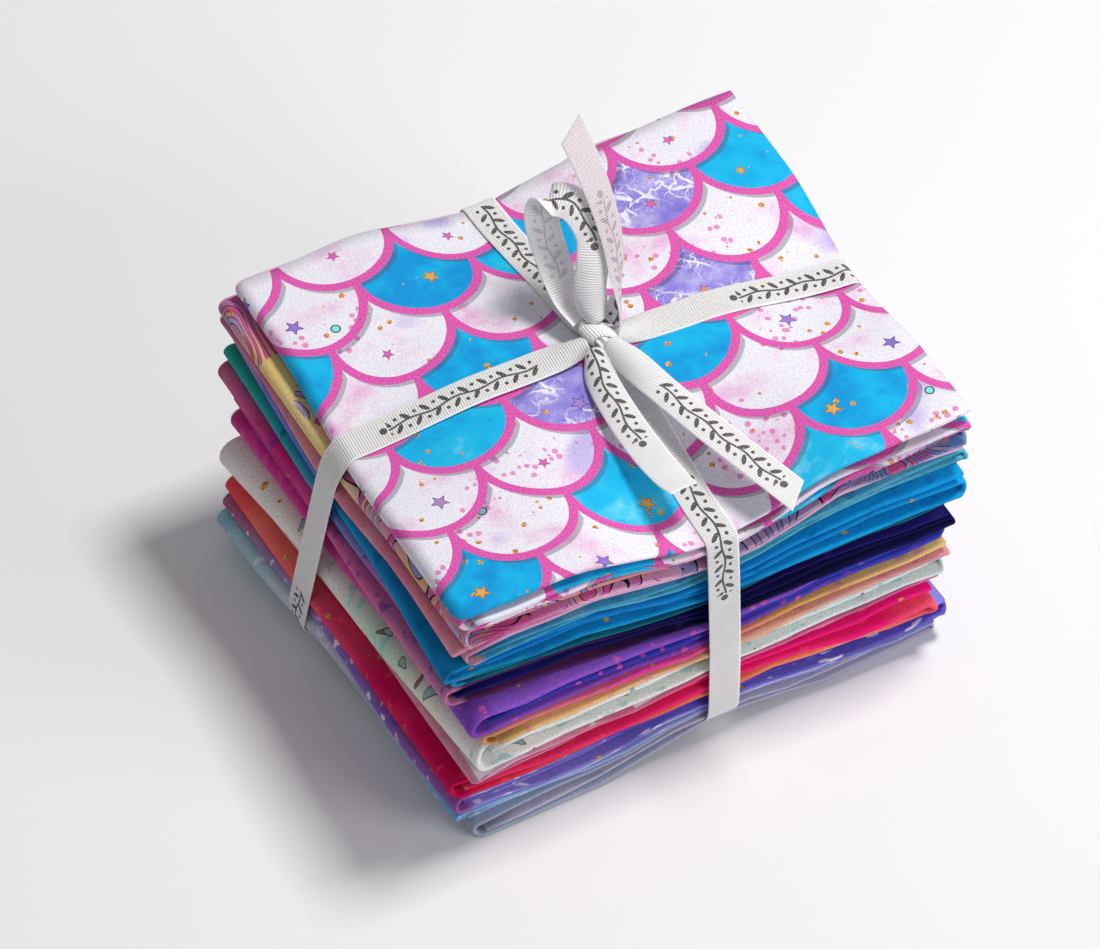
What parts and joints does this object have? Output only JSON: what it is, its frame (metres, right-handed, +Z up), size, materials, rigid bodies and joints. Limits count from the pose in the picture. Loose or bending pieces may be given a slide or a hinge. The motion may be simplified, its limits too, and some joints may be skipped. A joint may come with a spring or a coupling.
{
  "type": "fat quarter bundle",
  "caption": "Stack of folded cotton fat quarters, tied crosswise with a narrow ribbon in a small bow with loose slant-cut tails.",
  "frame": {"origin": "centre of the bounding box at the surface the bundle rests on", "axes": "+Z up; X along the packets' folded length, with the free top ends at +X and the wide folds at -X; -Y towards the front"},
  "size_m": [0.1842, 0.154, 0.1599],
  "materials": {
    "cotton_scale_print": "matte plain-weave cotton, scallop print in pink, white, blue and violet",
    "cotton_yellow": "matte plain-weave cotton, yellow with pink and dark line work",
    "cotton_rose": "matte plain-weave cotton, mottled rose",
    "cotton_aqua": "matte plain-weave cotton, mottled aqua and white",
    "cotton_blue": "matte plain-weave cotton, bright blue",
    "cotton_teal": "matte plain-weave cotton, teal running into violet",
    "cotton_mauve": "matte plain-weave cotton, mottled pink, dark inside",
    "cotton_violet": "matte plain-weave cotton, violet and indigo",
    "cotton_peach": "matte plain-weave cotton, yellow, peach and hot pink",
    "cotton_white": "matte plain-weave cotton, white with mint washes",
    "cotton_pink": "matte plain-weave cotton, pink",
    "cotton_crimson": "matte plain-weave cotton, crimson running into coral, gold specks",
    "cotton_galaxy": "matte plain-weave cotton, lilac and violet clouds",
    "cotton_sky": "matte plain-weave cotton, pale blue with gold specks",
    "cotton_grey": "matte plain-weave cotton, grey lilac",
    "ribbon": "off-white ribbed grosgrain with a small dark printed motif"
  },
  "bodies": {
    "root": {"fat_quarter_scale_print": "cotton_scale_print", "fat_quarter_yellow": "cotton_yellow", "fat_quarter_rose": "cotton_rose", "fat_quarter_aqua": "cotton_aqua", "fat_quarter_blue": "cotton_blue", "fat_quarter_teal": "cotton_teal", "fat_quarter_mauve": "cotton_mauve", "fat_quarter_violet": "cotton_violet", "fat_quarter_peach": "cotton_peach", "fat_quarter_white": "cotton_white", "fat_quarter_pink": "cotton_pink", "fat_quarter_crimson": "cotton_crimson", "fat_quarter_galaxy": "cotton_galaxy", "fat_quarter_sky": "cotton_sky", "fat_quarter_grey": "cotton_grey", "ribbon_across": "ribbon", "ribbon_along": "ribbon", "ribbon_knot": "ribbon", "bow_loop": "ribbon", "standing_tail": "ribbon", "long_tail": "ribbon", "short_tail": "ribbon"}
  },
  "joints": []
}
